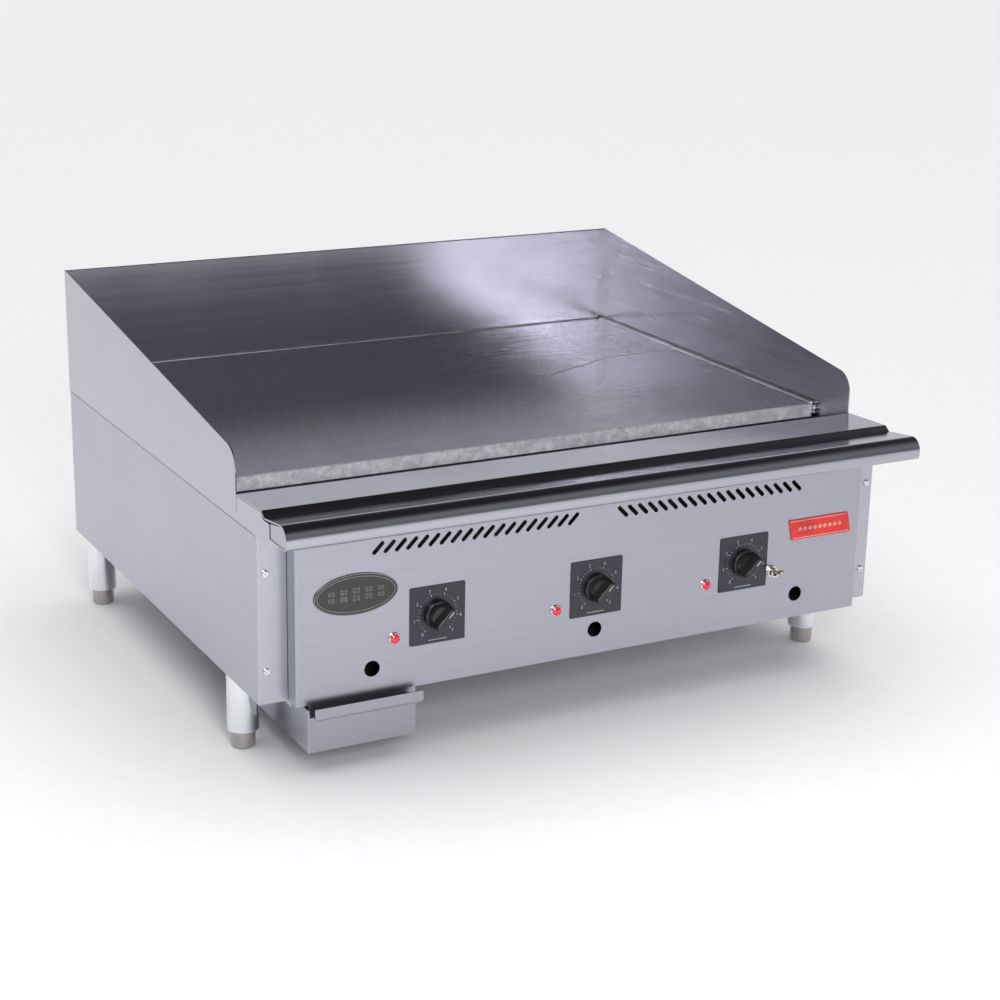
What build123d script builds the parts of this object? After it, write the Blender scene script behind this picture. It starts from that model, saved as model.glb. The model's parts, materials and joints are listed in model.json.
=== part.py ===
"""Countertop gas griddle, 36 inches wide, with three thermostat-controlled burners.

Millimetres. +X is the user's right, +Y is the back, +Z is up.
The origin is on the counter, under the middle of the whole griddle.
"""
from build123d import *
import os

# ---- driving dimensions ---------------------------------------------------
body_width = 914.4
body_depth = 746.0
body_base = 101.6
seam_height = 318.0
splash_height = 500.0
sheet = 1.5
gap = 0.3
bend = 3.0

nose_reach = 95.0
gas_inlet_reach = 32.0

plate_width = 896.0
plate_thickness = 19.0
plate_top = 350.0
plate_setback = 138.0
plate_rear_gap = 5.5

splash_setback = 64.0
splash_front_height = 406.5
splash_corner_radius = 30.0
splash_rear_flange = 10.0

ledge_sheet = 2.0
ledge_lip = 22.0
ledge_rear_height = 353.5
ledge_front_height = 356.5
nose_bottom = 327.5
nose_radius = 17.0
nose_lower_radius = 6.0

trough_front = 41.0
trough_rear = 143.0
trough_floor = 292.0
drain_x = -375.0
drain_setback = 106.0
chute_radius = 22.0

flange_width = 38.1
panel_reach = 25.5
panel_base = 101.3
panel_top = 340.0
panel_return = 20.0

dial_pitch = 228.6
dial_height = 193.5
dial_size = 76.2
trim_thickness = 1.2
shaft_radius = 3.0
running_clearance = 0.05

lamp_offset_x = -58.5
lamp_height = 170.0
sight_hole_pitch = 317.5
sight_hole_height = 135.0
sight_hole_radius = 10.5
vent_count = 19
vent_pitch = 15.14
vent_first_x = 36.6
vent_height = 291.0
vent_length = 20.5
vent_width = 5.6
toggle_x = 275.4
toggle_height = 174.0
toggle_tilt = 17.0
toggle_pivot = 6.0

oval_badge_x = -339.0
oval_badge_height = 236.5
oval_badge_radii = (56.0, 26.5)
name_badge_x = 351.5
name_badge_height = 228.0
name_badge_half = (49.0, 14.5)
name_badge_lean = 3.2

knob_skirt_radius = 19.0
knob_grip_length = 38.0
knob_grip_width = 13.0
knob_grip_height = 26.0

burner_pitch = 304.8
burner_height = 215.0
burner_radius = 22.0
burner_front = 84.0
burner_length = 570.0
pipe_radius = 13.34
pipe_bore = 10.5
thread_length = 20.0
thread_run_out = 3.0
manifold_setback = 47.5
gas_inlet_inset = 45.0

air_opening_width = 150.0
air_opening_depth = 120.0
air_opening_setback = 400.0

gland_inset = 110.0
gland_height = 150.0
cord_radius = 4.5

drawer_left = -401.0
drawer_right = -253.5
drawer_front = -20.0
drawer_length = 400.0
drawer_base = 35.0
drawer_rim = 92.0
pull_reach = 20.0
pull_height = 15.5

leg_x = 435.5
leg_setback_front = 111.5
leg_setback_rear = 691.0
leg_radius = 20.6
foot_radius = 15.7
foot_drop = 24.0

# ---- places worked out from them ------------------------------------------
half_width = body_width / 2
inside_x = half_width - sheet
front_y = nose_reach - (nose_reach + body_depth + gas_inlet_reach) / 2
back_y = front_y + body_depth
panel_y = front_y - panel_reach
panel_back_y = panel_y + sheet
nose_y = front_y - nose_reach
panel_half = half_width - flange_width - gap - 0.2
plate_front_y = front_y + plate_setback
plate_back_y = back_y - plate_rear_gap
plate_under = plate_top - plate_thickness
pan_under = body_base + sheet + 0.2
inlet_x = half_width - gas_inlet_inset
gland_x = half_width - gland_inset
SIDES = {"left": -1, "right": 1}
COLUMNS = {"left": -1, "centre": 0, "right": 1}
CORNERS = {
    "front_left": (-leg_x, front_y + leg_setback_front),
    "front_right": (leg_x, front_y + leg_setback_front),
    "rear_left": (-leg_x, front_y + leg_setback_rear),
    "rear_right": (leg_x, front_y + leg_setback_rear),
}
UP = (0, 0, 1)
DOWN = (0, 0, -1)
FORWARD = (0, -1, 0)
BACKWARD = (0, 1, 0)
ON_BASE = (Align.CENTER, Align.CENTER, Align.MIN)
nodes = {}


# ---- helpers ----------------------------------------------------------------
def block(x, y, z):
    """A box between (low, high) pairs along X, Y and Z."""
    size = [high - low for low, high in (x, y, z)]
    middle = [(low + high) / 2 for low, high in (x, y, z)]
    return Pos(*middle) * Box(*size)


def rod(start, direction, radius, length):
    """A cylinder that starts at a point and runs along a direction."""
    return Plane(origin=start, z_dir=direction) * Cylinder(radius, length, align=ON_BASE)


def cone(start, direction, radius, end_radius, length):
    """A cone that starts at a point with one radius and ends with another."""
    return Plane(origin=start, z_dir=direction) * Cone(radius, end_radius, length, align=ON_BASE)


def hexagon(start, direction, radius, length):
    """A hexagonal bar that starts at a point and runs along a direction."""
    return Plane(origin=start, z_dir=direction) * extrude(RegularPolygon(radius, 6), amount=length)


def tube(start, direction, radius, bore, length):
    """A hollow cylinder."""
    return rod(start, direction, radius, length) - rod(start, direction, bore, length)


def strip(points, radii, thickness):
    """The outline of a bent sheet whose face follows the points; thickness is to the left."""
    path = FilletPolyline(*points, radius=radii)
    return make_face(Wire(path.edges()).offset_2d(thickness, side=Side.LEFT, closed=True))


def along_x(section, low, high):
    """Extrudes a section drawn in (y, z) from one x to another."""
    return extrude(Plane.YZ.offset(low) * section, amount=high - low)


def along_z(section, low, high):
    """Extrudes a section drawn in (x, y) from one height to another."""
    return extrude(Plane.XY.offset(low) * section, amount=high - low)


def on_panel(shape, x, z):
    """Turns a flat shape upright, facing the user, at a place on the control panel."""
    return Plane(origin=(x, panel_y, z), x_dir=(1, 0, 0), z_dir=FORWARD) * shape


def for_side(side, shape):
    """The left-hand piece as drawn, or its mirror image on the right."""
    return shape if side == "left" else mirror(shape, about=Plane.YZ)


def pipe_along(points, radii, radius, bore=0.0):
    """A round tube along straight runs joined by arcs."""
    path = FilletPolyline(*points, radius=radii)
    start = path.location_at(0)
    section = Circle(radius)
    if bore:
        section -= Circle(bore)
    return sweep(Plane(start.position, z_dir=path.tangent_at(0)) * section, path=path)


def keep(name, shape):
    nodes[name] = shape


# ---- cooking surface --------------------------------------------------------
def make_plate():
    half = plate_width / 2
    plate = block((-half, half), (plate_front_y, plate_back_y), (plate_under, plate_top))
    plate = chamfer(plate.edges().group_by(Axis.Z)[-1], 1.2)
    keep("griddle_plate", plate)


def make_plate_rails():
    """Angle irons on the body sides that carry the plate."""
    leg = 34.0
    iron = 4.0
    top = plate_under - 0.2
    outer = -inside_x + 0.7
    span = (plate_front_y + 12, plate_back_y - 8)
    rail = block((outer, outer + leg), span, (top - iron, top))
    rail += block((outer, outer + iron), span, (top - leg, top))
    for side in SIDES:
        keep(f"{side}_plate_rail", for_side(side, rail))


def make_side_splashes():
    """One sheet each side: the tapered splash, stepping down to the end of the front ledge."""
    base = seam_height + 0.8
    nose_end = front_y - 44.0
    ledge_rear = ledge_rear_height - ledge_sheet - 0.6
    ledge_front = ledge_front_height - ledge_sheet - 0.6
    splash_y = front_y + splash_setback
    lip_base = ledge_rear_height - ledge_lip - 0.5
    outline = Polyline(
        (nose_end, base),
        (back_y, base),
        (back_y, splash_height),
        (splash_y, splash_front_height),
        (splash_y, lip_base),
        (splash_y - ledge_sheet - 1, lip_base),
        (splash_y - ledge_sheet - 1, ledge_rear),
        (front_y - 17.5, ledge_front),
        (front_y - 24.5, ledge_front - 7.0),
        (nose_end, ledge_front - 7.0),
        close=True,
    )
    face = make_face(outline)
    corner = face.vertices().sort_by_distance((splash_y, splash_front_height))[0]
    face = fillet(corner, splash_corner_radius)
    rear = back_y - 4.3
    wall = along_x(face, -half_width, -half_width + sheet)
    flange_x = (-half_width + sheet, -half_width + sheet + splash_rear_flange)
    wall += block(flange_x, (rear - sheet, rear), (plate_top + 2, splash_height - 2))
    for side in SIDES:
        keep(f"{side}_side_splash", for_side(side, wall))


def make_back_splash():
    front = back_y - 4.0
    fold = 1.6
    points = [
        (back_y - gap, splash_height - 16),
        (back_y - gap, splash_height),
        (front, splash_height),
        (front, seam_height + 2),
    ]
    section = strip(points, [fold, fold], trim_thickness)
    keep("back_splash", along_x(section, -inside_x + gap, inside_x - gap))


# ---- body -------------------------------------------------------------------
def flange_screw_places():
    return [(sign * (half_width - 11.0), z) for sign in (-1, 1) for z in (270.0, 144.0)]


def rear_screw_places():
    return [(sign * (half_width - 10.0), z) for sign in (-1, 1) for z in (130.0, 212.0, 294.0)]


def make_body_sides():
    rear_flange = 20.0
    points = [
        (-half_width + rear_flange, back_y),
        (-half_width, back_y),
        (-half_width, front_y),
        (-half_width + flange_width, front_y),
    ]
    wall = along_z(strip(points, [bend, bend], sheet), body_base, seam_height)
    foot_flange = block(
        (-inside_x, -half_width + 25.0),
        (front_y + sheet, back_y - sheet),
        (body_base, body_base + sheet),
    )
    wall += foot_flange
    for x, z in flange_screw_places()[:2]:
        wall -= rod((x, front_y - 1, z), BACKWARD, 2.5, 4)
    for x, z in rear_screw_places()[:3]:
        wall -= rod((x, back_y - 3, z), BACKWARD, 2.5, 4)
    for name in ("front_left", "rear_left"):
        x, y = CORNERS[name]
        wall -= rod((x, y, body_base - 1), UP, 6.5, 4)
    for side in SIDES:
        keep(f"{side}_body_side", for_side(side, wall))


def make_rear_panel():
    face = back_y - sheet - 0.3
    half = inside_x - 2.0
    panel = block((-half, half), (face - sheet, face), (105.5, seam_height - 0.5))
    slot = Rot(90, 0, 0) * extrude(SlotOverall(56, 11, rotation=90), amount=3, both=True)
    for bank in (-1, 0, 1):
        for step in range(-3, 4):
            panel -= Pos(bank * burner_pitch + step * 27.0, face, 262) * slot
    for x, z in rear_screw_places():
        panel -= rod((x, face - 3, z), BACKWARD, 2.3, 6)
    panel -= rod((inlet_x, face - 3, dial_height), BACKWARD, pipe_radius + 3, 6)
    panel -= rod((gland_x, face - 3, gland_height), BACKWARD, 8.2, 6)
    keep("rear_panel", panel)


def make_bottom_pan():
    """Floor of the body, with the drain's hole, the leg bolts' and an air opening per burner."""
    pan = block(
        (-inside_x + 0.5, inside_x - 0.5),
        (front_y + panel_return + 0.5, back_y - 2 * sheet - 0.6),
        (pan_under, pan_under + sheet),
    )
    drain = (drain_x, front_y + drain_setback, pan_under - 1)
    pan -= rod(drain, UP, chute_radius + 1, 4)
    for x, y in CORNERS.values():
        pan -= rod((x, y, pan_under - 1), UP, 6.5, 4)
    outline = RectangleRounded(air_opening_width, air_opening_depth, 8.0)
    opening = extrude(outline, amount=3, both=True)
    for column in COLUMNS.values():
        pan -= Pos(column * burner_pitch, front_y + air_opening_setback, pan_under) * opening
    keep("bottom_pan", pan)


# ---- ledge, nose and grease path ---------------------------------------------
def nose_line():
    """Path of the ledge's outer face as (y, z), from the trough to under the nose."""
    return [
        (front_y + splash_setback - 0.5, ledge_rear_height - ledge_lip),
        (front_y + splash_setback - 0.5, ledge_rear_height),
        (front_y - 19.0, ledge_front_height),
        (front_y - 27.5, ledge_front_height - 6.5),
        (nose_y, ledge_front_height + 2.0),
        (nose_y, nose_bottom),
        (front_y - panel_reach - 3.0, nose_bottom),
    ]


def make_front_ledge():
    bends = [2.5, 3.0, 5.0, nose_radius, nose_lower_radius]
    section = strip(nose_line(), bends, ledge_sheet)
    ledge = along_x(section, -half_width, half_width)
    for low, high in ((-half_width - 1, -inside_x + gap), (inside_x - gap, half_width + 1)):
        under_nose = (nose_bottom - 1, nose_bottom + ledge_sheet + 2)
        ledge -= block((low, high), (front_y - 45.0, front_y), under_nose)
    keep("front_ledge", ledge)


def make_nose_caps():
    """Flat plates that close the two ends of the nose, just inside its rim."""
    inset = ledge_sheet + 0.5
    corner_cut = 2.5
    rear = front_y - 46.0
    corner = (nose_y + inset, ledge_front_height + 2.0 - inset)
    outline = Polyline(
        (rear, nose_bottom + inset),
        (nose_y + inset + corner_cut, nose_bottom + inset),
        (nose_y + inset, nose_bottom + inset + corner_cut),
        corner,
        (rear, ledge_front_height - 6.0 - inset),
        close=True,
    )
    face = make_face(outline)
    face = fillet(face.vertices().sort_by_distance(corner)[0], nose_radius - 3)
    cap = along_x(face, -half_width + 0.6, -half_width + 0.6 + sheet)
    for side in SIDES:
        keep(f"{side}_nose_cap", for_side(side, cap))


def make_trough():
    """Open channel in front of the plate, with a drain hole at its left end."""
    front = front_y + trough_front
    rear = front_y + trough_rear
    end = inside_x - 1.7
    points = [
        (front, ledge_rear_height - 6),
        (front, trough_floor),
        (rear, trough_floor),
        (rear, plate_under - 0.5),
    ]
    trough = along_x(strip(points, [bend, bend], sheet), -end, end)
    wall_z = (trough_floor + 1, plate_under - 0.5)
    for wall_x in ((-end, -end + sheet), (end - sheet, end)):
        trough += block(wall_x, (front + 1, rear - 1), wall_z)
    hole = (drain_x, front_y + drain_setback, trough_floor - 1)
    trough -= rod(hole, UP, chute_radius - sheet, 6)
    keep("grease_trough", trough)


def make_chute():
    """Pipe that drops grease from the trough into the drawer."""
    top = trough_floor - 0.2
    base = panel_base - 1.0
    start = (drain_x, front_y + drain_setback, base)
    chute = tube(start, UP, chute_radius, chute_radius - sheet, top - base)
    collar = (drain_x, front_y + drain_setback, top - sheet)
    chute += tube(collar, UP, chute_radius + 8, chute_radius - 1, sheet)
    keep("grease_chute", chute)


# ---- control panel -------------------------------------------------------------
def vent_centres():
    places = []
    for sign in (-1, 1):
        for step in range(vent_count):
            places.append((sign, sign * (vent_first_x + step * vent_pitch)))
    return places


def make_control_panel():
    """Folded front panel with its vents, dial, lamp, switch and lighting holes."""
    points = [
        (-panel_half, front_y + panel_return),
        (-panel_half, panel_y),
        (panel_half, panel_y),
        (panel_half, front_y + panel_return),
    ]
    panel = along_z(strip(points, [bend, bend], sheet), panel_base, panel_top)
    floor_x = panel_half - sheet - 0.1
    floor_y = (panel_back_y - 0.1, front_y + 18)
    panel += block((-floor_x, floor_x), floor_y, (panel_base, panel_base + sheet))
    for sign, x in vent_centres():
        slot = extrude(SlotOverall(vent_length, vent_width, rotation=-45 * sign), amount=4, both=True)
        panel -= on_panel(slot, x, vent_height)
    for column in COLUMNS.values():
        panel -= on_panel(Cylinder(7.0, 8), column * dial_pitch, dial_height)
        panel -= on_panel(Cylinder(5.1, 8), column * dial_pitch + lamp_offset_x, lamp_height)
        panel -= on_panel(Cylinder(sight_hole_radius, 8), column * sight_hole_pitch, sight_hole_height)
    panel -= on_panel(Cylinder(6.2, 8), toggle_x, toggle_height)
    keep("control_panel", panel)


def make_screws():
    def pan_head(place, direction):
        shank = rod(place, [-part for part in direction], 2.1, 9)
        head = fillet(rod(place, direction, 4.4, 2.6).edges().sort_by_distance(place)[-1], 1.2)
        cross = Pos(0, 0, 2.6) * (Box(4.6, 0.9, 2.4) + Box(0.9, 4.6, 2.4))
        return shank + head - Plane(origin=place, z_dir=direction) * cross

    front = [pan_head((x, front_y - 0.1, z), FORWARD) for x, z in flange_screw_places()]
    rear = [pan_head((x, back_y + 0.1, z), BACKWARD) for x, z in rear_screw_places()]
    keep("flange_screws", Compound(front))
    keep("rear_panel_screws", Compound(rear))


def make_dials():
    """A square dial plate, a pointer knob, its shaft and its thermostat, three times over."""
    plate = extrude(RectangleRounded(dial_size, dial_size, 1.5), amount=trim_thickness)
    plate -= Cylinder(7.0, 8)
    base = trim_thickness + 1.3
    skirt = rod((0, 0, base), UP, knob_skirt_radius, 6.0)
    skirt = fillet(skirt.edges().sort_by(Axis.Z)[-1], 1.6)
    hub = cone((0, 0, base + 5.5), UP, 15.5, 13.0, 7.0)
    low_end = SlotOverall(knob_grip_length, knob_grip_width)
    high_end = SlotOverall(knob_grip_length - 5.0, knob_grip_width - 4.0)
    grip = loft([
        Pos(0, 0, base + 5.0) * Rot(0, 0, 45) * low_end,
        Pos(0, 0, base + knob_grip_height) * Rot(0, 0, 45) * high_end,
    ])
    knob = skirt + hub + fillet(grip.edges().group_by(Axis.Z)[-1], 1.5)
    knob -= rod((0, 0, base - 1), UP, shaft_radius, 19)
    shaft_length = 38.0
    shaft_tip = base + 17.5
    shaft = rod((0, 0, shaft_tip - shaft_length), UP, shaft_radius, shaft_length)
    for name, column in COLUMNS.items():
        x = column * dial_pitch
        keep(f"dial_plate_{name}", on_panel(Pos(0, 0, 0.1) * plate, x, dial_height))
        keep(f"knob_{name}", on_panel(knob, x, dial_height))
        keep(f"thermostat_shaft_{name}", on_panel(shaft, x, dial_height))
        keep(f"thermostat_{name}", thermostat(x))


def thermostat(x):
    """Snap-action gas thermostat, fed from the pipe behind it, with its outlet below."""
    front = panel_back_y + 2.5
    rear = front_y + 29.0
    body = block((x - 26, x + 26), (front, rear), (dial_height - 28, dial_height + 28))
    body = fillet(body.edges().filter_by(Axis.Y), 4)
    body += rod((x, front + 1, dial_height), FORWARD, 9.0, 3.3)
    manifold_front = front_y + manifold_setback - pipe_radius
    body += rod((x, rear - 1, dial_height), BACKWARD, 8.0, manifold_front - rear + 0.9)
    body += rod((x, front_y + 5, dial_height - 27), DOWN, 7.0, 8.0)
    body += rod((x + 14, front_y + 5, dial_height + 27), UP, 5.0, 6.0)
    return body - rod((x, front_y + 2, dial_height), FORWARD, shaft_radius + running_clearance, 40)


def make_lamps():
    """Round pilot lamps: a chamfered bezel with its barrel, and a domed lens."""
    housings = []
    lenses = []
    for column in COLUMNS.values():
        x = column * dial_pitch + lamp_offset_x
        bezel = tube((0, 0, 0.1), UP, 7.8, 6.4, 2.2)
        bezel = chamfer(bezel.edges().group_by(Axis.Z)[-1].sort_by(SortBy.LENGTH)[-1], 0.9)
        seat = tube((0, 0, 0.1), UP, 6.6, 3.5, 0.6)
        barrel = tube((0, 0, -26), UP, 4.9, 3.5, 26.3)
        housings.append(on_panel(bezel + seat + barrel, x, lamp_height))
        edge = rod((0, 0, 0.8), UP, 6.3, 2.2)
        dome = Pos(0, 0, -3.6) * Sphere(9.0)
        dome &= rod((0, 0, 2.9), UP, 6.3, 9)
        lenses.append(on_panel(edge + dome, x, lamp_height))
    keep("lamp_housings", Compound(housings))
    keep("lamp_lenses", Compound(lenses))


def make_toggle():
    """Toggle switch: its case behind the panel, the nut in front and the lever."""
    case = Pos(0, 0, -30) * Box(14, 27, 27.5, align=ON_BASE)
    case = fillet(case.edges().filter_by(Axis.Z), 1.5)
    for spade in (-9, 0, 9):
        case += Pos(0, spade, -38) * Box(6.3, 0.8, 9, align=ON_BASE)
    switch = case + tube((0, 0, -4), UP, 6.0, 4.2, 14.0)
    keep("toggle_switch", on_panel(switch, toggle_x, toggle_height))
    nut = hexagon((0, 0, 0.1), UP, 8.2, 2.4) - rod((0, 0, -1), UP, 6.05, 5)
    keep("toggle_nut", on_panel(nut, toggle_x, toggle_height))
    stem = cone((0, 0, -1), UP, 1.9, 3.0, 20.0)
    tip = Pos(0, 0, 19.0) * Sphere(3.3)
    lever = Rot(-toggle_tilt, 0, 0) * (stem + tip + Sphere(3.2))
    keep("toggle_lever", on_panel(Pos(0, 0, toggle_pivot) * lever, toggle_x, toggle_height))


def make_badges():
    """Two plain badges: an oval on the left, and a leaning bar on the right."""
    oval = extrude(Ellipse(*oval_badge_radii), amount=trim_thickness)
    keep("oval_badge", on_panel(Pos(0, 0, 0.1) * oval, oval_badge_x, oval_badge_height))
    half_length, half_height = name_badge_half
    outline = Polyline(
        (-half_length - name_badge_lean, half_height),
        (half_length - name_badge_lean, half_height),
        (half_length + name_badge_lean, -half_height),
        (-half_length + name_badge_lean, -half_height),
        close=True,
    )
    bar = extrude(fillet(make_face(outline).vertices(), 1.5), amount=trim_thickness)
    keep("name_badge", on_panel(Pos(0, 0, 0.1) * bar, name_badge_x, name_badge_height))


# ---- gas system ------------------------------------------------------------------
def make_manifold():
    """Supply pipe behind the dials, turning back to a threaded end outside the rear panel."""
    y = front_y + manifold_setback
    elbow_end = y + 60.0
    left_end = -dial_pitch - 34
    points = [
        (left_end, y, dial_height),
        (inlet_x, y, dial_height),
        (inlet_x, elbow_end, dial_height),
    ]
    pipe = pipe_along(points, [42.0], pipe_radius, pipe_bore)
    length = back_y + gas_inlet_reach - elbow_end
    pipe += tube(points[-1], BACKWARD, pipe_radius, pipe_bore, length)
    pipe += rod((left_end - 2, y, dial_height), (1, 0, 0), pipe_radius + 2.5, 16)
    run_out_y = back_y + gas_inlet_reach - thread_length - thread_run_out
    run_out = (inlet_x, run_out_y, dial_height)
    pipe -= tube(run_out, BACKWARD, pipe_radius + 1, pipe_radius - 1, thread_run_out)
    keep("gas_manifold", pipe)


def make_supply_tubes():
    """Tubes from each thermostat's outlet, under the manifold and up to its burner."""
    run_height = dial_height - 48.0
    y = front_y + 5
    riser = front_y + 71
    tubes = []
    for column in COLUMNS.values():
        x = column * dial_pitch
        burner_x = column * burner_pitch
        points = [(x, y, dial_height - 35.2), (x, y, run_height)]
        if burner_x != x:
            points.append((burner_x, y, run_height))
        points += [(burner_x, riser, run_height), (burner_x, riser, burner_height)]
        points.append((burner_x, riser + 12, burner_height))
        tubes.append(pipe_along(points, [5.0] * (len(points) - 2), 4.0))
    keep("supply_tubes", Compound(tubes))


def make_burners():
    """Three straight tube burners, each with its orifice fitting and a standing pilot."""
    fittings = []
    pilots = []
    for name, column in COLUMNS.items():
        x = column * burner_pitch
        fitting_y = front_y + burner_front
        start_y = fitting_y + 40
        burner = rod((x, start_y, burner_height), BACKWARD, burner_radius, burner_length - 40)
        burner += cone((x, start_y + 0.5, burner_height), FORWARD, burner_radius, 15.0, 30.0)
        burner += rod((x, start_y - 28, burner_height), FORWARD, 15.0, 12.0)
        burner -= rod((x, start_y - 1, burner_height), BACKWARD, burner_radius - 2, burner_length - 42)
        burner -= cone((x, start_y + 0.5, burner_height), FORWARD, burner_radius - 2, 13.0, 30.1)
        burner -= rod((x, start_y - 28, burner_height), FORWARD, 13.0, 14.0)
        for step in range(9):
            port_y = start_y + 45 + step * 52.0
            for offset in (-9, 9):
                burner -= Pos(x + offset, port_y, burner_height + burner_radius) * Box(6, 34, 10)
        keep(f"burner_{name}", burner)
        nozzle = hexagon((x, fitting_y - 0.7, burner_height), BACKWARD, 8, 10)
        nozzle += rod((x, fitting_y + 8, burner_height), BACKWARD, 4.0, 10.0)
        fittings.append(nozzle)
        foot = (x + 36, fitting_y + 50, pan_under + sheet + 0.2)
        pilot = rod(foot, UP, 5.0, burner_height - foot[2] - 4)
        pilot += Pos(foot[0], foot[1], burner_height) * Box(14, 14, 12)
        pilots.append(pilot)
    keep("orifice_fittings", Compound(fittings))
    keep("pilot_burners", Compound(pilots))


def make_probes():
    """Sensing bulbs clipped under the plate, each on its thin tube from the thermostat."""
    probes = []
    for column in COLUMNS.values():
        x = column * dial_pitch + 14
        y = front_y + 5
        bulb_y = plate_front_y + 70
        bulb_height = plate_under - 6.2
        points = [
            (x, y, dial_height + 33.2),
            (x, y, 262),
            (x, front_y + 160, 262),
            (x, front_y + 160, bulb_height),
            (x, bulb_y + 5, bulb_height),
        ]
        thin = pipe_along(points, [12.0] * 3, 1.6)
        probes.append(thin + rod((x, bulb_y, bulb_height), BACKWARD, 4.8, 190))
    keep("thermostat_probes", Compound(probes))


def make_burner_supports():
    """The baffle that shields the controls, and the saddle bar under the burners' far ends."""
    y = front_y + burner_front - 5
    half = inside_x - 14
    low = pan_under + sheet + 0.2
    baffle = block((-half, half), (y, y + sheet), (low, 258))
    for column in COLUMNS.values():
        baffle -= rod((column * burner_pitch, y - 1, burner_height), BACKWARD, 5.5, 4)
    baffle -= rod((inlet_x, y - 1, dial_height), BACKWARD, pipe_radius + 2, 4)
    keep("burner_baffle", baffle)
    y = front_y + burner_front + burner_length - 60
    bar = block((-half, half), (y, y + 2), (low, burner_height))
    for column in COLUMNS.values():
        bar -= rod((column * burner_pitch, y - 1, burner_height), BACKWARD, burner_radius + 0.2, 4)
    bar -= rod((inlet_x, y - 1, dial_height), BACKWARD, pipe_radius + 2, 4)
    keep("burner_rear_support", bar)


def make_cable_gland():
    """Strain relief in the rear panel for the supply cord of the lamps and switch."""
    face = back_y - sheet - 0.2
    gland = hexagon((gland_x, face, gland_height), BACKWARD, 13, 6)
    gland += rod((gland_x, face + 5.5, gland_height), BACKWARD, 10.0, 9)
    gland += cone((gland_x, face + 14, gland_height), BACKWARD, 10.0, 7.0, 6.0)
    gland += rod((gland_x, face + 1, gland_height), FORWARD, 8.0, 11)
    keep("cable_gland", gland - rod((gland_x, face - 20, gland_height), BACKWARD, cord_radius, 60))


# ---- grease drawer ------------------------------------------------------------------
def make_drawer():
    """Open tray with rims that ride on the runners, and a tab that backs the pull."""
    wall = 1.2
    front = front_y + drawer_front
    back = front + drawer_length
    outer_x = (drawer_left, drawer_right)
    inner_x = (drawer_left + wall, drawer_right - wall)
    tray = block(outer_x, (front, back), (drawer_base, drawer_rim))
    tray = fillet(tray.edges().filter_by(Axis.Z), 2.0)
    tray -= block(inner_x, (front + wall, back - wall), (drawer_base + wall, drawer_rim + 1))
    rim_z = (drawer_rim - wall, drawer_rim)
    tray += block((drawer_left - 8, drawer_left + 0.2), (front + 30, back - 2), rim_z)
    tray += block((drawer_right - 0.2, drawer_right + 8), (front + 30, back - 2), rim_z)
    tray += block((drawer_left + 2, drawer_right - 2), (front, front + wall), (drawer_rim - 2, 100.2))
    keep("grease_drawer", tray)


def make_drawer_pull():
    """J-shaped finger pull across the top of the drawer's front."""
    face = front_y + drawer_front - 0.1
    top = panel_base - 0.4
    low = top - pull_height
    points = [
        (face, low - 13),
        (face, low),
        (face - pull_reach, low),
        (face - pull_reach, top),
    ]
    section = strip(points, [2.2, 3.4], sheet)
    pull = along_x(section, drawer_left + 1, drawer_right - 1)
    middle = (drawer_left + drawer_right) / 2
    length = drawer_right - drawer_left - 2
    rounded = extrude(RectangleRounded(length, 40, 7.0), amount=60)
    facing = Plane(origin=(middle, face + 5, low - sheet + 20), z_dir=FORWARD, x_dir=(1, 0, 0))
    welded_z = (low - 14, low - sheet + 0.1)
    welded = block((drawer_left + 1, drawer_right - 1), (face - 6, face + 1), welded_z)
    pull &= facing * rounded + welded
    keep("drawer_pull", pull)


def make_drawer_runners():
    """Channels under the body whose lips carry the drawer's rims."""
    lip_top = drawer_rim - trim_thickness - 0.5
    outer = drawer_left - 11.0
    span = (front_y + 8, front_y + drawer_front + drawer_length + 6)
    top = panel_base - 0.5
    left = block((outer, outer + sheet), span, (lip_top - sheet, top))
    left += block((outer, drawer_left - 1.0), span, (lip_top - sheet, lip_top))
    left += block((outer, drawer_left - 1.0), span, (top - sheet, top))
    middle = (drawer_left + drawer_right) / 2
    right = mirror(left, about=Plane.YZ.offset(middle))
    keep("left_drawer_runner", left)
    keep("right_drawer_runner", right)


# ---- legs ------------------------------------------------------------------------
def make_legs():
    """Tube legs, each with a foot that screws in and out of its lower end."""
    leg_top = panel_base - 0.1
    leg = rod((0, 0, foot_drop), UP, leg_radius, leg_top - foot_drop)
    leg = fillet(leg.edges().sort_by(Axis.Z)[0], 1.2)
    leg -= rod((0, 0, foot_drop - 1), UP, foot_radius + 0.3, 50)
    leg += rod((0, 0, leg_top - 0.5), UP, 6.0, 14)
    foot = rod((0, 0, 0), UP, foot_radius, foot_drop + 24)
    foot = fillet(foot.edges().sort_by(Axis.Z)[0], 3.0)
    for name, (x, y) in CORNERS.items():
        keep(f"leg_{name}", Pos(x, y, 0) * leg)
        keep(f"foot_{name}", Pos(x, y, 0) * foot)


def main():
    make_plate()
    make_plate_rails()
    make_side_splashes()
    make_back_splash()
    make_body_sides()
    make_rear_panel()
    make_bottom_pan()
    make_front_ledge()
    make_nose_caps()
    make_trough()
    make_chute()
    make_control_panel()
    make_screws()
    make_dials()
    make_lamps()
    make_toggle()
    make_badges()
    make_manifold()
    make_supply_tubes()
    make_burners()
    make_probes()
    make_burner_supports()
    make_cable_gland()
    make_drawer()
    make_drawer_pull()
    make_drawer_runners()
    make_legs()
    os.makedirs("parts", exist_ok=True)
    for name, shape in nodes.items():
        export_step(shape, f"parts/{name}.step")


main()
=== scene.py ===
import json
import math
import random

import bmesh
import bpy
from mathutils import Matrix, Quaternion, Vector


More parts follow.
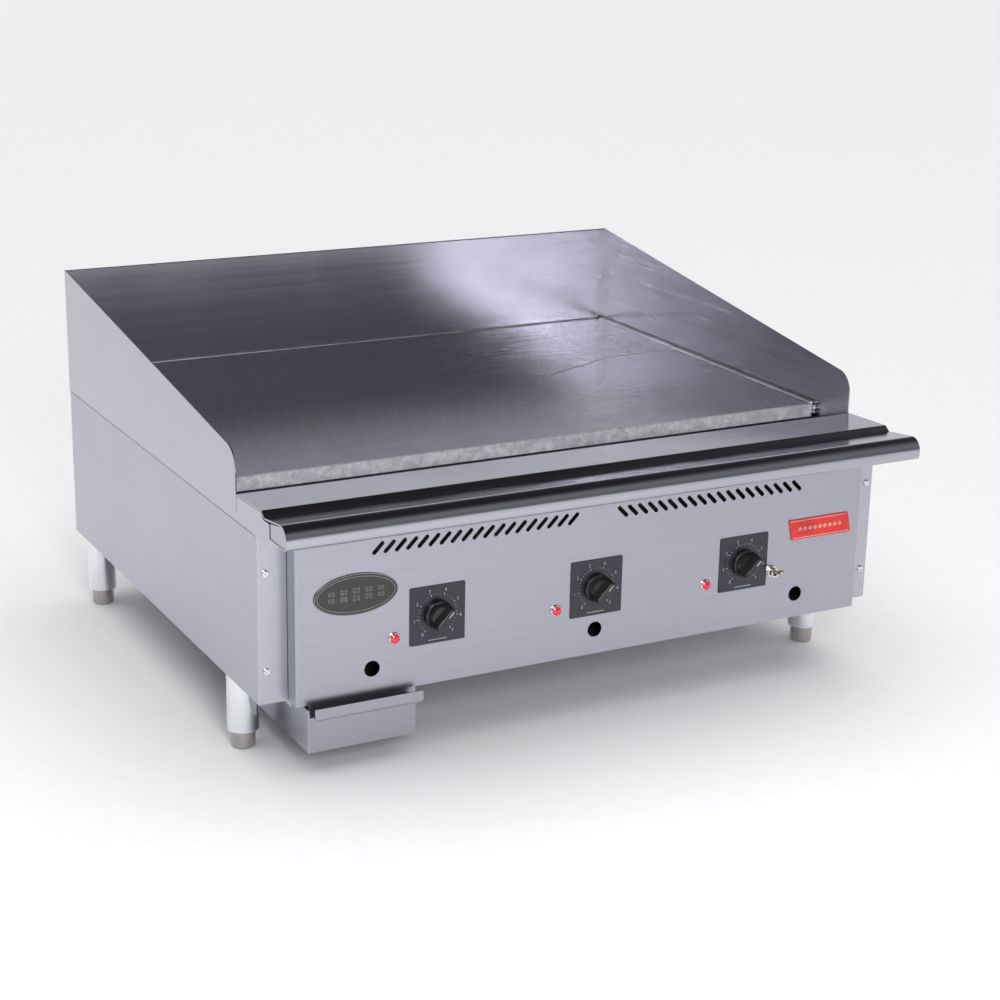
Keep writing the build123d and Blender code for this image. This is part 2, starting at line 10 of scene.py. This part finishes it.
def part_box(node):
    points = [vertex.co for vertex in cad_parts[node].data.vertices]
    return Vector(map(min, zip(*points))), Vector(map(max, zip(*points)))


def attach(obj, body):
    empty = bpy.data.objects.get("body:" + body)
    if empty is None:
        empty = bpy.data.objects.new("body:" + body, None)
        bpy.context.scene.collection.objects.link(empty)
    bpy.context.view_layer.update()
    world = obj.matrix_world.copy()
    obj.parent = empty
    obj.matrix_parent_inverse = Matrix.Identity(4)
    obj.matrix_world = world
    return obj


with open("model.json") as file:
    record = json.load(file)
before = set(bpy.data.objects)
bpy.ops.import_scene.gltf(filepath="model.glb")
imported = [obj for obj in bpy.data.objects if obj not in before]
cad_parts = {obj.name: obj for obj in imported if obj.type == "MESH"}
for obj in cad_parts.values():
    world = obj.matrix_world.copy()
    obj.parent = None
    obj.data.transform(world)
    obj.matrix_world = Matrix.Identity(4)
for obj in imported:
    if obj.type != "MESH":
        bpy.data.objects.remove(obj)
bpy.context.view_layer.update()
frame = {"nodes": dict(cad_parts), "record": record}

nodes = frame["nodes"]
random.seed(7)


# ---- node helpers -----------------------------------------------------------
class Surface:
    """One material and short ways to add the nodes that it needs."""

    def __init__(self, name, colour, metallic, roughness):
        self.material = bpy.data.materials.new(name)
        self.material.use_nodes = True
        self.tree = self.material.node_tree
        self.shader = self.tree.nodes["Principled BSDF"]
        self.shader.inputs["Base Color"].default_value = (*colour, 1.0)
        self.shader.inputs["Metallic"].default_value = metallic
        self.shader.inputs["Roughness"].default_value = roughness
        self.coords = self.tree.nodes.new("ShaderNodeTexCoord")

    def link(self, source, target):
        self.tree.links.new(source, target)

    def noise(self, scale, detail=3.0, rough=0.55, distortion=0.0):
        """Noise in metres: scale is cycles per metre along X, Y and Z."""
        mapping = self.tree.nodes.new("ShaderNodeMapping")
        mapping.inputs["Scale"].default_value = scale
        self.link(self.coords.outputs["Object"], mapping.inputs["Vector"])
        noise = self.tree.nodes.new("ShaderNodeTexNoise")
        noise.inputs["Scale"].default_value = 1.0
        noise.inputs["Detail"].default_value = detail
        noise.inputs["Roughness"].default_value = rough
        noise.inputs["Distortion"].default_value = distortion
        self.link(mapping.outputs["Vector"], noise.inputs["Vector"])
        return noise.outputs["Fac"]

    def cells(self, scale):
        voronoi = self.tree.nodes.new("ShaderNodeTexVoronoi")
        voronoi.inputs["Scale"].default_value = scale
        self.link(self.coords.outputs["Object"], voronoi.inputs["Vector"])
        return voronoi.outputs["Color"]

    def spread(self, value, low, high, start=0.3, end=0.7):
        """Maps start..end of a value to low..high."""
        node = self.tree.nodes.new("ShaderNodeMapRange")
        node.inputs["From Min"].default_value = start
        node.inputs["From Max"].default_value = end
        node.inputs["To Min"].default_value = low
        node.inputs["To Max"].default_value = high
        self.link(value, node.inputs["Value"])
        return node.outputs["Result"]

    def math(self, operation, first, second):
        node = self.tree.nodes.new("ShaderNodeMath")
        node.operation = operation
        for socket, value in zip(node.inputs, (first, second)):
            if isinstance(value, (int, float)):
                socket.default_value = value
            else:
                self.link(value, socket)
        return node.outputs["Value"]

    def blend(self, amount, first, second):
        """Colour that goes from first to second; each is a tuple or a socket."""
        node = self.tree.nodes.new("ShaderNodeMix")
        node.data_type = "RGBA"
        self.link(amount, node.inputs["Factor"])
        for socket, value in ((node.inputs[6], first), (node.inputs[7], second)):
            if isinstance(value, tuple):
                socket.default_value = (*value, 1.0)
            else:
                self.link(value, socket)
        return node.outputs[2]

    def colour(self, socket):
        self.link(socket, self.shader.inputs["Base Color"])

    def roughness(self, socket):
        self.link(socket, self.shader.inputs["Roughness"])

    def bump(self, height, strength, distance):
        node = self.tree.nodes.new("ShaderNodeBump")
        node.inputs["Strength"].default_value = strength
        node.inputs["Distance"].default_value = distance
        self.link(height, node.inputs["Height"])
        self.link(node.outputs["Normal"], self.shader.inputs["Normal"])

    def set(self, name, value):
        self.shader.inputs[name].default_value = value


def tint(colour, factor):
    return tuple(min(1.0, part * factor) for part in colour)


def along(grain, run, across):
    """Noise scale of a grain that runs along one axis."""
    return tuple(run if axis == grain else across for axis in "xyz")


# ---- materials --------------------------------------------------------------
def brushed_steel(name, grain, colour, roughness, relief=0.06):
    """Sheet with a fine brushed grain, broader streaks and faint hand smudges."""
    s = Surface(name, colour, 1.0, roughness)
    fine = s.noise(along(grain, 7.0, 1100.0), 4.0, 0.6)
    streaks = s.noise(along(grain, 1.6, 120.0), 3.0, 0.6)
    smudges = s.noise((7.0, 7.0, 7.0), 3.0, 0.5, 0.4)
    both = s.math("ADD", s.math("MULTIPLY", fine, 0.45), s.math("MULTIPLY", streaks, 0.55))
    s.colour(s.blend(s.spread(both, 0.0, 1.0), tint(colour, 0.93), tint(colour, 1.05)))
    wear = s.math("ADD", s.spread(both, -0.035, 0.045), s.spread(smudges, -0.02, 0.03))
    s.roughness(s.math("ADD", wear, roughness))
    s.bump(fine, relief, 0.0001)
    return s.material


def cooking_plate(name):
    """Ground steel plate: circular polishing marks on top, pale blasted front edge."""
    s = Surface(name, (0.3, 0.29, 0.33), 1.0, 0.17)
    split = s.tree.nodes.new("ShaderNodeSeparateXYZ")
    s.link(s.coords.outputs["Object"], split.inputs["Vector"])
    centre_x, centre_y, ring = 0.42, -0.262, 0.42
    from_x = s.math("SUBTRACT", split.outputs["X"], centre_x)
    from_y = s.math("SUBTRACT", split.outputs["Y"], centre_y)
    squares = s.math("ADD", s.math("MULTIPLY", from_x, from_x), s.math("MULTIPLY", from_y, from_y))
    distance = s.math("SQRT", squares, 0.0)
    wobble = s.spread(s.noise((9.0, 9.0, 9.0), 2.0), -0.004, 0.004)
    distance = s.math("ADD", distance, wobble)
    swirl_angle = s.math("ARCTAN2", from_y, from_x)
    combine = s.tree.nodes.new("ShaderNodeCombineXYZ")
    s.link(s.math("MULTIPLY", distance, 260.0), combine.inputs["X"])
    s.link(s.math("MULTIPLY", swirl_angle, 1.6), combine.inputs["Y"])
    marks = s.tree.nodes.new("ShaderNodeTexNoise")
    marks.inputs["Scale"].default_value = 1.0
    marks.inputs["Detail"].default_value = 5.0
    s.link(combine.outputs["Vector"], marks.inputs["Vector"])
    swirls = marks.outputs["Fac"]
    gap = s.math("ABSOLUTE", s.math("SUBTRACT", distance, ring), 0.0)
    line = s.spread(gap, 1.0, 0.0, 0.0, 0.0055)
    near = s.spread(split.outputs["X"], 0.0, 1.0, 0.08, 0.24)
    rear = s.spread(split.outputs["Y"], 0.0, 1.0, 0.0, 0.06)
    line = s.math("MULTIPLY", s.math("MULTIPLY", line, near), rear)
    stains = s.noise((4.5, 4.5, 4.5), 4.0, 0.55, 0.8)
    grind = s.noise((2.5, 420.0, 420.0), 4.0, 0.6)
    # Painted sheen: the top is painted paler towards the front and darker towards the rear.
    painted_front_sheen = s.spread(split.outputs["Y"], 1.0, 0.0, -0.25, 0.32)
    dark = s.blend(s.spread(stains, 0.0, 1.0), (0.16, 0.155, 0.185), (0.22, 0.215, 0.25))
    pale = s.blend(s.spread(stains, 0.0, 1.0), (0.31, 0.30, 0.34), (0.40, 0.39, 0.43))
    top = s.blend(painted_front_sheen, dark, pale)
    top = s.blend(s.spread(swirls, 0.0, 0.45), top, (0.42, 0.41, 0.45))
    top = s.blend(s.math("MULTIPLY", line, 0.75), top, (0.78, 0.76, 0.80))
    top_rough = s.math("ADD", s.spread(stains, 0.20, 0.29), s.spread(grind, -0.02, 0.04))
    top_rough = s.math("ADD", top_rough, s.math("MULTIPLY", line, 0.2))
    facing = s.tree.nodes.new("ShaderNodeSeparateXYZ")
    s.link(s.coords.outputs["Normal"], facing.inputs["Vector"])
    edge = s.spread(facing.outputs["Z"], 1.0, 0.0, 0.55, 0.85)
    mottle = s.noise((95.0, 95.0, 95.0), 5.0, 0.65, 0.6)
    drips = s.noise((16.0, 16.0, 34.0), 3.0, 0.6, 0.5)
    front = s.blend(s.spread(mottle, 0.0, 1.0, 0.35, 0.65), (0.60, 0.60, 0.65), (0.93, 0.93, 0.97))
    front = s.blend(s.spread(drips, 0.0, 0.55, 0.5, 0.75), front, (0.46, 0.46, 0.52))
    front_rough = s.spread(mottle, 0.42, 0.62)
    s.colour(s.blend(edge, top, front))
    s.link(s.spread(edge, 1.0, 0.25, 0.0, 1.0), s.shader.inputs["Metallic"])
    difference = s.math("SUBTRACT", front_rough, top_rough)
    s.roughness(s.math("ADD", top_rough, s.math("MULTIPLY", difference, edge)))
    relief = s.math("ADD", s.math("MULTIPLY", mottle, edge), s.math("MULTIPLY", grind, 0.12))
    s.bump(relief, 0.25, 0.0006)
    return s.material


def polished_metal(name, colour, roughness, scale=60.0):
    """Plated or turned metal with faint scuffs."""
    s = Surface(name, colour, 1.0, roughness)
    scuffs = s.noise((scale, scale, scale * 0.3), 4.0, 0.6)
    s.colour(s.blend(s.spread(scuffs, 0.0, 1.0), tint(colour, 0.94), tint(colour, 1.03)))
    s.roughness(s.spread(scuffs, roughness * 0.8, roughness * 1.35))
    s.bump(scuffs, 0.04, 0.0001)
    return s.material


def threaded_metal(name, colour, roughness, pitch):
    """Turned metal with fine rings round a vertical axis."""
    s = Surface(name, colour, 1.0, roughness)
    split = s.tree.nodes.new("ShaderNodeSeparateXYZ")
    s.link(s.coords.outputs["Object"], split.inputs["Vector"])
    wave = s.math("SINE", s.math("MULTIPLY", split.outputs["Z"], 2 * math.pi / pitch), 0.0)
    scuffs = s.noise((90.0, 90.0, 30.0), 4.0, 0.6)
    s.colour(s.blend(s.spread(scuffs, 0.0, 1.0), tint(colour, 0.82), tint(colour, 1.04)))
    s.roughness(s.spread(scuffs, roughness * 0.85, roughness * 1.3))
    s.bump(s.math("ADD", wave, s.math("MULTIPLY", scuffs, 0.4)), 0.22, 0.0004)
    return s.material


def galvanised_sheet(name):
    s = Surface(name, (0.55, 0.56, 0.58), 1.0, 0.42)
    spangle = s.cells(70.0)
    shade = s.tree.nodes.new("ShaderNodeSeparateColor")
    s.link(spangle, shade.inputs["Color"])
    s.colour(s.blend(shade.outputs["Red"], (0.44, 0.45, 0.48), (0.66, 0.67, 0.70)))
    s.roughness(s.spread(shade.outputs["Green"], 0.34, 0.52, 0.0, 1.0))
    s.bump(s.noise((300.0, 300.0, 300.0)), 0.08, 0.0002)
    return s.material


def cast_metal(name, colour, roughness, metallic=1.0, heat=None):
    """Rough dark metal; heat adds patches of another colour."""
    s = Surface(name, colour, metallic, roughness)
    patches = s.noise((18.0, 18.0, 18.0), 4.0, 0.6, 0.5)
    grain = s.noise((450.0, 450.0, 450.0), 4.0, 0.6)
    s.colour(s.blend(s.spread(patches, 0.0, 1.0), tint(colour, 0.85), heat or tint(colour, 1.2)))
    s.roughness(s.spread(grain, roughness * 0.85, roughness * 1.2))
    s.bump(grain, 0.2, 0.0004)
    return s.material


def moulded_plastic(name, colour, roughness, relief=0.05, coat=0.0):
    s = Surface(name, colour, 0.0, roughness)
    grain = s.noise((900.0, 900.0, 900.0), 2.0)
    haze = s.noise((35.0, 35.0, 35.0), 3.0)
    s.colour(s.blend(s.spread(haze, 0.0, 1.0), tint(colour, 0.8), tint(colour, 1.3)))
    s.roughness(s.spread(haze, roughness * 0.85, roughness * 1.25))
    s.bump(grain, relief, 0.0002)
    s.set("Coat Weight", coat)
    s.set("Coat Roughness", 0.08)
    return s.material


def lamp_glass(name):
    """Red lens with a moulded ring pattern that glows a little from its depth."""
    s = Surface(name, (0.72, 0.012, 0.035), 0.0, 0.12)
    ribs = s.noise((700.0, 60.0, 700.0), 2.0)
    s.colour(s.blend(s.spread(ribs, 0.0, 1.0), (0.52, 0.004, 0.02), (0.85, 0.03, 0.06)))
    s.roughness(s.spread(ribs, 0.08, 0.2))
    s.bump(ribs, 0.15, 0.0003)
    s.set("Emission Color", (0.9, 0.01, 0.04, 1.0))
    s.set("Emission Strength", 0.12)
    s.set("Coat Weight", 0.8)
    s.set("Coat Roughness", 0.05)
    return s.material


STEEL = (0.50, 0.505, 0.56)
panel_steel = brushed_steel("panel_steel", "x", (0.43, 0.435, 0.49), 0.30)
side_steel = brushed_steel("side_steel", "y", STEEL, 0.31)
splash_steel = brushed_steel("splash_steel", "y", (0.52, 0.51, 0.56), 0.23)
back_steel = brushed_steel("back_steel", "x", (0.56, 0.55, 0.61), 0.20)
nose_steel = brushed_steel("nose_steel", "x", (0.45, 0.455, 0.50), 0.14, 0.03)
drawer_steel = brushed_steel("drawer_steel", "x", (0.40, 0.405, 0.45), 0.30)
weld_metal = cast_metal("weld_metal", (0.62, 0.61, 0.65), 0.34, 1.0, (0.78, 0.77, 0.80))
bright_trim = polished_metal("bright_trim", (0.34, 0.34, 0.35), 0.3, 300.0)
dial_ink = moulded_plastic("dial_ink", (0.36, 0.37, 0.42), 0.5)
pointer_ink = moulded_plastic("pointer_ink", (0.55, 0.55, 0.56), 0.5)
badge_ink = moulded_plastic("badge_ink", (0.13, 0.135, 0.13), 0.42)
red_badge_ink = moulded_plastic("red_badge_ink", (0.88, 0.42, 0.36), 0.42)

BY_SLOT = {
    "stainless": panel_steel,
    "plate_steel": cooking_plate("plate_steel_finish"),
    "polished_leg": polished_metal("leg_plating", (0.86, 0.88, 0.91), 0.08, 40.0),
    "foot_metal": threaded_metal("foot_nickel", (0.50, 0.47, 0.46), 0.26, 0.0021),
    "galvanised": galvanised_sheet("galvanised_sheet"),
    "black_iron": cast_metal("pipe_iron", (0.045, 0.044, 0.046), 0.5, 0.8),
    "burner_steel": cast_metal("burner_scale", (0.30, 0.28, 0.27), 0.42, 1.0, (0.34, 0.27, 0.22)),
    "valve_metal": cast_metal("valve_casting", (0.56, 0.56, 0.55), 0.36),
    "brass_fittings": polished_metal("brass", (0.72, 0.53, 0.24), 0.27, 120.0),
    "dial_black": moulded_plastic("dial_enamel", (0.016, 0.016, 0.028), 0.34, 0.03, 0.25),
    "knob_black": moulded_plastic("knob_phenolic", (0.010, 0.010, 0.011), 0.28, 0.05, 0.3),
    "lamp_bezel": polished_metal("bezel_chrome", (0.80, 0.80, 0.82), 0.12, 300.0),
    "lamp_red": lamp_glass("lamp_lens_red"),
    "switch_metal": polished_metal("switch_nickel", (0.80, 0.78, 0.74), 0.20, 250.0),
    "lever_metal": polished_metal("lever_brass", (0.70, 0.56, 0.40), 0.22, 300.0),
    "screw_steel": polished_metal("screw_zinc", (0.74, 0.75, 0.78), 0.22, 400.0),
    "badge_black": moulded_plastic("badge_enamel", (0.018, 0.024, 0.020), 0.30, 0.03, 0.3),
    "badge_red": moulded_plastic("badge_red_enamel", (0.70, 0.022, 0.018), 0.34, 0.03, 0.2),
    "gland_plastic": moulded_plastic("gland_nylon", (0.03, 0.03, 0.032), 0.5),
}
BY_NODE = {
    "left_body_side": side_steel,
    "right_body_side": side_steel,
    "left_side_splash": splash_steel,
    "right_side_splash": splash_steel,
    "back_splash": back_steel,
    "front_ledge": nose_steel,
    "left_nose_cap": nose_steel,
    "right_nose_cap": nose_steel,
    "grease_drawer": drawer_steel,
    "drawer_pull": drawer_steel,
}
for part in frame["record"]["subparts"]:
    node = nodes[part["node"]]
    material = BY_NODE.get(part["node"], BY_SLOT[part["material_slot"]])
    for index in range(len(node.data.materials)):
        node.data.materials[index] = material


# ---- pieces -----------------------------------------------------------------
def add_mesh(name, mesh, material, body):
    """Links a finished mesh, gives it its finish and lets it ride on a body."""
    mesh.name = name
    mesh.materials.append(material)
    piece = bpy.data.objects.new(name, mesh)
    bpy.context.scene.collection.objects.link(piece)
    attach(piece, body)
    return piece


def to_mesh(form):
    mesh = bpy.data.meshes.new("piece")
    form.to_mesh(mesh)
    form.free()
    return mesh


def weld_bead(name, start, end, radius, lift):
    """Rippled bead of round section from one point to another, moved up by lift (a negative lift sinks
    it into the sheet).
    """
    start, end = Vector(start), Vector(end)
    run = (end - start).normalized()
    side = run.orthogonal().normalized()
    up = run.cross(side)
    length = (end - start).length
    step = radius * 0.22
    count = int(length / step)
    form = bmesh.new()
    rings = []
    drift = 0.0
    for index in range(count + 1):
        phase = (index % 6) / 6
        drift = 0.9 * drift + random.uniform(-0.02, 0.02)
        size = radius * (1.0 + drift - 0.16 * phase * phase)
        if index in (0, count):
            size *= 0.35
        centre = start + run * (length * index / count) + Vector((0, 0, lift))
        ring = []
        for corner in range(10):
            angle = 2 * math.pi * corner / 10
            ring.append(form.verts.new(centre + (side * math.cos(angle) + up * math.sin(angle)) * size))
        rings.append(ring)
    for first, second in zip(rings, rings[1:]):
        for corner in range(10):
            follow = (corner + 1) % 10
            form.faces.new((first[corner], first[follow], second[follow], second[corner]))
    form.faces.new(rings[0][::-1])
    form.faces.new(rings[-1])
    bmesh.ops.recalc_face_normals(form, faces=form.faces)
    for face in form.faces:
        face.smooth = True
    return add_mesh(name, to_mesh(form), weld_metal, "griddle")


def flat_bar(form, matrix, half_x, half_y, thickness, taper=0.75):
    """A low bar with sloping sides, on its own base plane."""
    base = [(-half_x, -half_y), (half_x, -half_y), (half_x, half_y), (-half_x, half_y)]
    low = [form.verts.new(matrix @ Vector((x, y, 0.0))) for x, y in base]
    high = [form.verts.new(matrix @ Vector((x * taper, y * taper, thickness))) for x, y in base]
    form.faces.new(high)
    form.faces.new(low[::-1])
    for index in range(4):
        follow = (index + 1) % 4
        form.faces.new((low[index], low[follow], high[follow], high[index]))


def ring_strip(form, matrix, outer, inner, thickness, count=96):
    """A flat ring between two ellipses, given as half lengths along X and Y."""
    rows = []
    for (half_x, half_y), z in ((outer, 0.0), (outer, thickness), (inner, thickness), (inner, 0.0)):
        row = []
        for index in range(count):
            angle = 2 * math.pi * index / count
            point = Vector((half_x * math.cos(angle), half_y * math.sin(angle), z))
            row.append(form.verts.new(matrix @ point))
        rows.append(row)
    for first, second in zip(rows, rows[1:] + rows[:1]):
        for index in range(count):
            follow = (index + 1) % count
            form.faces.new((first[index], first[follow], second[follow], second[index]))


def on_face(node, lift=0.0):
    """Plane on the front face of a node: local X is the user's right, Y is up, Z is forward."""
    low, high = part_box(node)
    centre = ((low[0] + high[0]) / 2, low[1] - lift, (low[2] + high[2]) / 2)
    return Matrix.Translation(centre) @ Matrix.Rotation(math.pi / 2, 4, "X")


def dial_marks(name):
    """Scale printed on a dial plate: ticks on an arc and plain numbers outside it."""
    place = on_face(f"dial_plate_{name}")
    form = bmesh.new()
    sweep = math.radians(280)
    for index in range(29):
        angle = math.radians(230) - sweep * index / 28
        major = index % 4 == 0
        length = 0.0034 if major else 0.0018
        spot = Matrix.Rotation(angle, 4, "Z") @ Matrix.Translation((0.0252 + length / 2, 0.0, 0.0))
        flat_bar(form, place @ spot, length / 2, 0.00042 if major else 0.00024, 0.00012)
    flat_bar(form, place @ Matrix.Translation((0.0, -0.0335, 0.0)), 0.013, 0.0005, 0.00012)
    bmesh.ops.recalc_face_normals(form, faces=form.faces)
    add_mesh(f"dial_ticks_{name}", to_mesh(form), dial_ink, "griddle")
    for index in range(8):
        angle = math.radians(230) - sweep * index / 7
        text = bpy.data.curves.new(f"dial_number_{name}_{index}", "FONT")
        text.body = str(index)
        text.align_x = "CENTER"
        text.align_y = "CENTER"
        text.size = 0.0062
        text.extrude = 0.00006
        helper = bpy.data.objects.new("helper", text)
        bpy.context.scene.collection.objects.link(helper)
        bpy.context.view_layer.update()
        mesh = bpy.data.meshes.new_from_object(helper)
        bpy.data.objects.remove(helper)
        spot = Matrix.Translation((0.0325 * math.cos(angle), 0.0325 * math.sin(angle), 0.00006))
        mesh.transform(place @ spot)
        add_mesh(f"dial_number_{name}_{index}", mesh, dial_ink, "griddle")


def knob_pointer(name):
    """Pale line let into the end of the knob's grip."""
    place = on_face(f"knob_{name}") @ Matrix.Rotation(math.radians(45), 4, "Z")
    form = bmesh.new()
    flat_bar(form, place @ Matrix.Translation((0.0085, 0.0, 0.0)), 0.0045, 0.0006, 0.00012)
    bmesh.ops.recalc_face_normals(form, faces=form.faces)
    add_mesh(f"knob_pointer_{name}", to_mesh(form), pointer_ink, f"dial_{name}")


def badge_trim():
    """Plain borders for the two blank badges, with a row of leaves and a row of dots."""
    oval = on_face("oval_badge")
    form = bmesh.new()
    ring_strip(form, oval, (0.0556, 0.0261), (0.0549, 0.0254), 0.0003)
    ring_strip(form, oval, (0.0520, 0.0226), (0.0514, 0.0220), 0.0002)
    bmesh.ops.recalc_face_normals(form, faces=form.faces)
    add_mesh("oval_badge_border", to_mesh(form), bright_trim, "griddle")
    form = bmesh.new()
    for index in range(5):
        x = (index - 2) * 0.0165
        height = 0.0125 - 0.0016 * abs(index - 2)
        for turn in (-24, 24):
            leaf = oval @ Matrix.Translation((x, 0, 0)) @ Matrix.Rotation(math.radians(turn), 4, "Z")
            ring_strip(form, leaf, (0.0030, height * 0.8), (0.0016, height * 0.62), 0.0002, 32)
    bmesh.ops.recalc_face_normals(form, faces=form.faces)
    add_mesh("oval_badge_leaves", to_mesh(form), badge_ink, "griddle")
    bar = on_face("name_badge")
    form = bmesh.new()
    for index in range(9):
        spot = bar @ Matrix.Translation(((index - 4) * 0.0082, 0, 0))
        ring_strip(form, spot, (0.0026, 0.0026), (0.0012, 0.0012), 0.0002, 24)
    for height in (-0.0122, 0.0122):
        lean = -0.0027 if height > 0 else 0.0027
        spot = bar @ Matrix.Translation((lean, height, 0))
        flat_bar(form, spot, 0.0465, 0.00045, 0.0002, 0.985)
    bmesh.ops.recalc_face_normals(form, faces=form.faces)
    add_mesh("name_badge_border", to_mesh(form), red_badge_ink, "griddle")


plate_low, plate_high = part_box("griddle_plate")
splash_low, splash_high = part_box("right_side_splash")
gap_middle = (plate_high[0] + splash_high[0] - 0.0015) / 2
gap_radius = (splash_high[0] - 0.0015 - plate_high[0]) / 2 + 0.0006
top = plate_high[2]
for side, sign in (("left", -1), ("right", 1)):
    front_end = (sign * gap_middle, plate_low[1] + 0.004, top)
    rear_end = (sign * gap_middle, plate_high[1] - 0.004, top)
    weld_bead(f"plate_weld_{side}", front_end, rear_end, gap_radius, -0.0016)
    foot = (sign * gap_middle, plate_low[1] - 0.0005, plate_low[2] + 0.004)
    weld_bead(f"plate_front_weld_{side}", foot, (foot[0], foot[1], top - 0.002), gap_radius, 0.0)
rear_y = plate_high[1] + 0.0006
span = plate_high[0] - 0.004
weld_bead("plate_weld_rear", (-span, rear_y, top), (span, rear_y, top), 0.0022, -0.0003)
for name in ("left", "centre", "right"):
    dial_marks(name)
    knob_pointer(name)
badge_trim()


# ---- studio -----------------------------------------------------------------
# Grey of the sky by height, from the horizon at 0 to straight up at 1.
REAR_SKY = ((0.0, 0.74), (0.30, 0.70), (0.40, 0.34), (0.52, 0.06), (1.0, 0.02))
FRONT_SKY = (
    (0.0, 0.26),
    (0.28, 0.21),
    (0.48, 0.28),
    (0.65, 0.24),
    (0.78, 0.11),
    (0.84, 0.04),
    (1.0, 0.02),
)
KEY_AIM = Vector((0.0, 0.0, 0.35))
KEY_DISTANCE = 2.9
KEY_SHIFT = Vector((0.405, -0.218, 0.05))


def make_floor():
    form = bmesh.new()
    bmesh.ops.create_grid(form, x_segments=8, y_segments=8, size=14.0)
    mesh = to_mesh(form)
    floor = bpy.data.objects.new("studio_floor", mesh)
    bpy.context.scene.collection.objects.link(floor)
    s = Surface("floor_paper", (0.86, 0.86, 0.87), 0.0, 0.8)
    fibre = s.noise((40.0, 40.0, 40.0), 3.0)
    s.colour(s.blend(s.spread(fibre, 0.0, 1.0), (0.85, 0.85, 0.86), (0.87, 0.87, 0.88)))
    s.set("Specular IOR Level", 0.1)
    mesh.materials.append(s.material)


def make_light(name, size, power, place, target):
    light = bpy.data.lights.new(name, "AREA")
    light.shape = "RECTANGLE"
    light.size, light.size_y = size
    light.energy = power
    lamp = bpy.data.objects.new(name, light)
    bpy.context.scene.collection.objects.link(lamp)
    lamp.location = place
    lamp.rotation_mode = "QUATERNION"
    lamp.rotation_quaternion = (Vector(target) - Vector(place)).to_track_quat("-Z", "Y")
    lamp.visible_camera = False


def make_sun():
    """Even, very soft light from above; sheet metal does not mirror it."""
    light = bpy.data.lights.new("sky_fill", "SUN")
    light.energy = 2.7
    light.angle = math.radians(90)
    lamp = bpy.data.objects.new("sky_fill", light)
    bpy.context.scene.collection.objects.link(lamp)
    lamp.visible_camera = False
    lamp.visible_glossy = False


def make_world():
    """Dark ceiling over a horizon that is pale at the rear and an even grey at the front."""
    world = bpy.data.worlds.new("studio")
    bpy.context.scene.world = world
    world.use_nodes = True
    tree = world.node_tree
    add = tree.nodes.new
    coords = add("ShaderNodeTexCoord")
    split = add("ShaderNodeSeparateXYZ")
    tree.links.new(coords.outputs["Generated"], split.inputs["Vector"])
    side = add("ShaderNodeMapRange")
    side.inputs["From Min"].default_value = -0.15
    side.inputs["From Max"].default_value = 0.15
    tree.links.new(split.outputs["Y"], side.inputs["Value"])
    mix = add("ShaderNodeMix")
    mix.data_type = "RGBA"
    tree.links.new(side.outputs["Result"], mix.inputs["Factor"])
    for stops, socket in ((FRONT_SKY, mix.inputs[6]), (REAR_SKY, mix.inputs[7])):
        height = add("ShaderNodeValToRGB")
        while len(height.color_ramp.elements) < len(stops):
            height.color_ramp.elements.new(0.5)
        for element, (position, grey) in zip(height.color_ramp.elements, stops):
            element.position = position
            element.color = (grey, grey, grey * 1.06, 1.0)
        tree.links.new(split.outputs["Z"], height.inputs["Fac"])
        tree.links.new(height.outputs["Color"], socket)
    tree.links.new(mix.outputs[2], tree.nodes["Background"].inputs["Color"])


def make_camera():
    azimuth, elevation, roll = math.radians(28.26), math.radians(17.62), math.radians(1.14)
    flat = math.cos(elevation)
    back = Vector((-math.sin(azimuth) * flat, -math.cos(azimuth) * flat, math.sin(elevation)))
    target = Vector((-0.00611, -0.11184, 0.23811))
    camera = bpy.data.objects.new("camera", bpy.data.cameras.new("camera"))
    bpy.context.scene.collection.objects.link(camera)
    camera.data.sensor_width = 36.0
    camera.data.lens = 75.26
    camera.location = target + back * 2.89843
    camera.rotation_mode = "QUATERNION"
    facing = (-back).to_track_quat("-Z", "Y")
    camera.rotation_quaternion = facing @ Quaternion((0.0, 0.0, 1.0), roll)
    bpy.context.scene.camera = camera
    return back


make_floor()
make_world()
to_camera = make_camera()
make_sun()
key_place = KEY_AIM + to_camera * KEY_DISTANCE + KEY_SHIFT
make_light("key_softbox", (0.6, 0.9), 31.0, key_place, KEY_AIM)
bpy.context.scene.view_settings.view_transform = "Standard"
